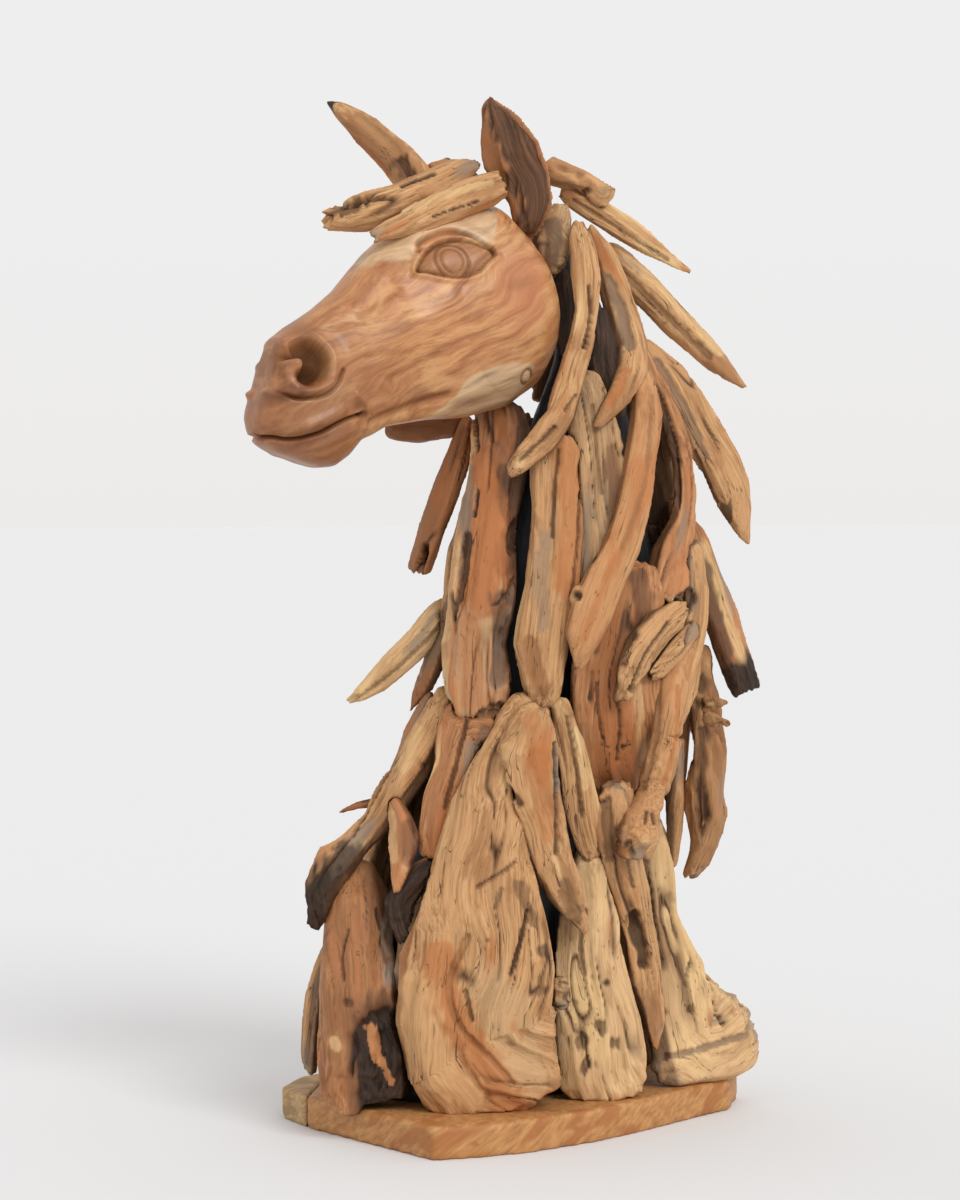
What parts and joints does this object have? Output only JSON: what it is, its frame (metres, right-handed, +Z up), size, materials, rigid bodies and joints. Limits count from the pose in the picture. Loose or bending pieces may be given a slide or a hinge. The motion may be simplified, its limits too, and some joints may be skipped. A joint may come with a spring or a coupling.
{
  "type": "driftwood horse head sculpture",
  "caption": "Carved teak horse head with a mane, neck and chest of weathered driftwood sticks and slabs fixed round a black core, standing on a thick irregular board.",
  "frame": {"origin": "middle of the underside of the board", "axes": "+Z up, the horse looks along -Y, its left side is +X"},
  "size_m": [0.3665, 0.5473, 0.9699],
  "materials": {
    "carved_teak": "carved and lacquered teak, satin to gloss, streaky grain",
    "tan_driftwood": "weathered teak root, matt, fibrous",
    "orange_driftwood": "weathered teak root with orange heartwood showing",
    "grey_driftwood": "sun-greyed teak root, matt",
    "pale_driftwood": "pale pitted teak root, matt",
    "charred_wood": "charred and dirt-darkened wood",
    "black_paint": "wood painted matt black",
    "board_wood": "planed board, clear satin finish",
    "board_grey": "greyed end grain board"
  },
  "bodies": {
    "root": {"base_board": "board_wood", "base_board_end_block": "board_grey", "carved_head": "carved_teak", "left_ear": "orange_driftwood", "left_ear_wedge": "grey_driftwood", "right_ear": "orange_driftwood", "forelock_near": "tan_driftwood", "forelock_far": "tan_driftwood", "forelock_knob": "charred_wood", "mane_from_ear_curved": "grey_driftwood", "mane_behind_ear_hooked": "orange_driftwood", "mane_long_smooth": "tan_driftwood", "mane_split_finger": "grey_driftwood", "mane_split_finger_short": "tan_driftwood", "mane_long_with_knob": "orange_driftwood", "mane_forked_flare": "grey_driftwood", "shoulder_burl_strand": "tan_driftwood", "shoulder_pointed_strand": "tan_driftwood", "chest_large_slab": "orange_driftwood", "shoulder_thin_strand": "tan_driftwood", "shoulder_lower_slab": "pale_driftwood", "shoulder_stub": "grey_driftwood", "chest_orange_flap": "orange_driftwood", "chest_long_diagonal": "orange_driftwood", "chest_twig": "charred_wood", "chest_thin_edge": "tan_driftwood", "chest_trunk_burnt": "orange_driftwood", "neck_plank": "orange_driftwood", "neck_front_slab": "orange_driftwood", "neck_front_lower_strand": "tan_driftwood", "mane_grey_slab": "grey_driftwood", "shoulder_back_flare": "pale_driftwood", "neck_red_slab": "orange_driftwood", "mane_short_finger": "tan_driftwood", "mane_dark_strand": "charred_wood", "mane_dark_sliver": "charred_wood", "mane_back_1": "tan_driftwood", "mane_back_2": "orange_driftwood", "mane_back_3": "orange_driftwood", "mane_back_4": "grey_driftwood", "mane_back_5": "orange_driftwood", "mane_back_6": "tan_driftwood", "mane_back_7": "orange_driftwood", "throat_two_pronged": "orange_driftwood", "throat_pointed": "tan_driftwood", "throat_pale_branch": "pale_driftwood", "jaw_stub": "tan_driftwood", "chest_thin_plank": "tan_driftwood", "chest_dark_strand": "charred_wood", "chest_grey_filler": "grey_driftwood", "far_mane_top": "tan_driftwood", "far_mane_long": "grey_driftwood", "far_neck_slab": "orange_driftwood", "far_throat_slab": "tan_driftwood", "far_back_strand": "tan_driftwood", "far_ridge_strand": "orange_driftwood", "far_shoulder_slab": "pale_driftwood", "far_chest_slab": "orange_driftwood", "far_chest_front_strand": "tan_driftwood", "painted_core": "black_paint"}
  },
  "joints": []
}
